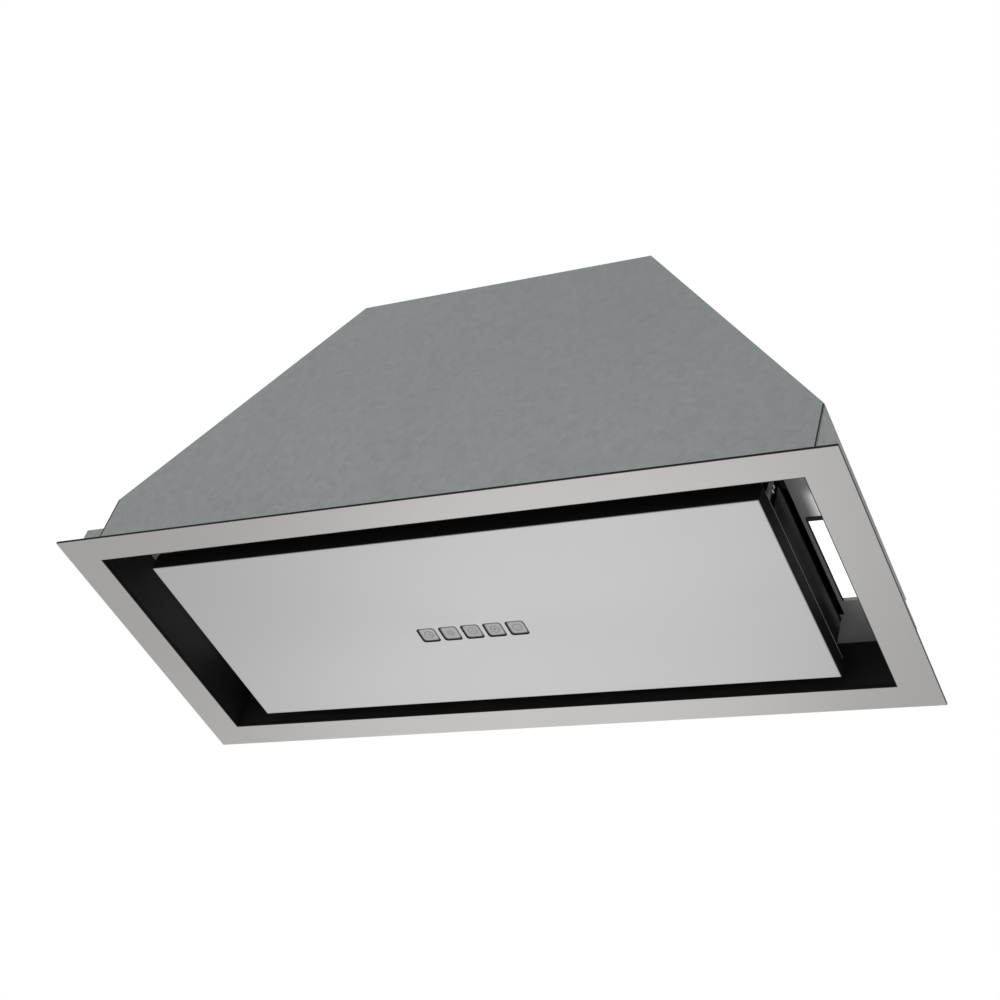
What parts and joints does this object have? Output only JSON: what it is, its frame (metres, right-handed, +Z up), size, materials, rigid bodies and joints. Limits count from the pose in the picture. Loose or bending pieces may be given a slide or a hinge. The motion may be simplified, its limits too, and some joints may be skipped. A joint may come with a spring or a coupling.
{
  "type": "built-in range hood",
  "caption": "Built-in cabinet range hood: steel trim flange, drop-down control panel with push keys, perimeter air intake, side lamps and a tapered casing with a blower and a top duct spigot.",
  "frame": {"origin": "centre of the trim flange's underside", "axes": "+X to the right along the flange, -Y to the front, +Z up to the duct spigot"},
  "size_m": [0.7, 0.29, 0.3206],
  "materials": {
    "brushed_steel": "fine brushed",
    "galvanised_steel": "spangled zinc",
    "black_enamel": "satin black",
    "dark_steel": "satin grey",
    "lamp_diffuser": "frosted",
    "bright_steel": "zinc plated",
    "black_plastic": "moulded",
    "key_plastic": "satin",
    "filter_aluminium": "expanded mesh",
    "circuit_board": "solder mask",
    "wheel_plastic": "moulded",
    "motor_steel": "zinc plated",
    "white_plastic": "moulded"
  },
  "bodies": {
    "casing": {"trim_flange": "brushed_steel", "left_lamp_shelf": "dark_steel", "right_lamp_shelf": "dark_steel", "deck_rear": "dark_steel", "front_panel": "galvanised_steel", "left_side_shell": "galvanised_steel", "right_side_shell": "galvanised_steel", "top_plate": "galvanised_steel", "rear_cover": "galvanised_steel", "left_fixing_lug": "galvanised_steel", "neck_left_wall": "black_enamel", "neck_right_wall": "black_enamel", "neck_front_wall": "black_enamel", "neck_rear_wall": "black_enamel", "deck_front": "black_enamel", "left_filter_guide": "black_enamel", "right_filter_guide": "black_enamel", "left_lamp_lens": "lamp_diffuser", "right_lamp_lens": "lamp_diffuser", "left_hinge_arm": "bright_steel", "right_hinge_arm": "bright_steel", "hinge_pins": "bright_steel", "left_catch_clip": "bright_steel", "right_catch_clip": "bright_steel", "cover_screws": "bright_steel", "collar_screws": "bright_steel", "flap_pin": "bright_steel", "motor_bracket": "bright_steel", "left_lamp_housing": "black_plastic", "right_lamp_housing": "black_plastic", "front_scroll_half": "black_plastic", "rear_scroll_half": "black_plastic", "duct_collar": "black_plastic", "control_box": "black_plastic", "control_box_lid": "black_plastic", "cable_gland": "black_plastic", "filter_frame": "filter_aluminium", "filter_mesh": "filter_aluminium", "motor": "motor_steel", "terminal_block": "white_plastic", "motor_capacitor": "white_plastic"},
    "panel": {"panel_skin": "brushed_steel", "panel_stiffener": "bright_steel", "left_panel_ear": "bright_steel", "right_panel_ear": "bright_steel", "catch_studs": "bright_steel", "switch_housing": "black_plastic", "switch_board": "circuit_board"},
    "impeller": {"impeller_wheel": "wheel_plastic", "impeller_shaft": "bright_steel"},
    "front_flap": {"front_flap": "black_plastic"},
    "rear_flap": {"rear_flap": "black_plastic"},
    "left_filter_latch": {"left_filter_latch": "black_plastic"},
    "right_filter_latch": {"right_filter_latch": "black_plastic"},
    "speed_key": {"speed_key": "key_plastic"},
    "lamp_key": {"lamp_key": "key_plastic"},
    "minus_key": {"minus_key": "key_plastic"},
    "plus_key": {"plus_key": "key_plastic"},
    "power_key": {"power_key": "key_plastic"}
  },
  "joints": [
    {"name": "panel_hinge", "type": "hinge", "parent": "casing", "child": "panel", "pos_m": [0, 0.101, 0.015], "axis": [1, 0, 0], "range_deg": [0, 90]},
    {"name": "speed_key_press", "type": "slide", "parent": "panel", "child": "speed_key", "axis": [0, 0, 1], "range_m": [0, 0.0018], "stiffness_N_per_m": 600, "springref_m": -0.001},
    {"name": "lamp_key_press", "type": "slide", "parent": "panel", "child": "lamp_key", "axis": [0, 0, 1], "range_m": [0, 0.0018], "stiffness_N_per_m": 600, "springref_m": -0.001},
    {"name": "minus_key_press", "type": "slide", "parent": "panel", "child": "minus_key", "axis": [0, 0, 1], "range_m": [0, 0.0018], "stiffness_N_per_m": 600, "springref_m": -0.001},
    {"name": "plus_key_press", "type": "slide", "parent": "panel", "child": "plus_key", "axis": [0, 0, 1], "range_m": [0, 0.0018], "stiffness_N_per_m": 600, "springref_m": -0.001},
    {"name": "power_key_press", "type": "slide", "parent": "panel", "child": "power_key", "axis": [0, 0, 1], "range_m": [0, 0.0018], "stiffness_N_per_m": 600, "springref_m": -0.001},
    {"name": "impeller_spin", "type": "hinge", "parent": "casing", "child": "impeller", "pos_m": [-0.06, 0, 0.16], "axis": [0, 1, 0], "continuous": true},
    {"name": "front_flap_hinge", "type": "hinge", "parent": "casing", "child": "front_flap", "pos_m": [0, 0, 0.2926], "axis": [-1, 0, 0], "range_deg": [0, 75]},
    {"name": "rear_flap_hinge", "type": "hinge", "parent": "casing", "child": "rear_flap", "pos_m": [0, 0, 0.2926], "axis": [1, 0, 0], "range_deg": [0, 75]},
    {"name": "left_latch_slide", "type": "slide", "parent": "casing", "child": "left_filter_latch", "axis": [0, 1, 0], "range_m": [0, 0.006], "stiffness_N_per_m": 300, "springref_m": -0.003},
    {"name": "right_latch_slide", "type": "slide", "parent": "casing", "child": "right_filter_latch", "axis": [0, 1, 0], "range_m": [0, 0.006], "stiffness_N_per_m": 300, "springref_m": -0.003}
  ]
}
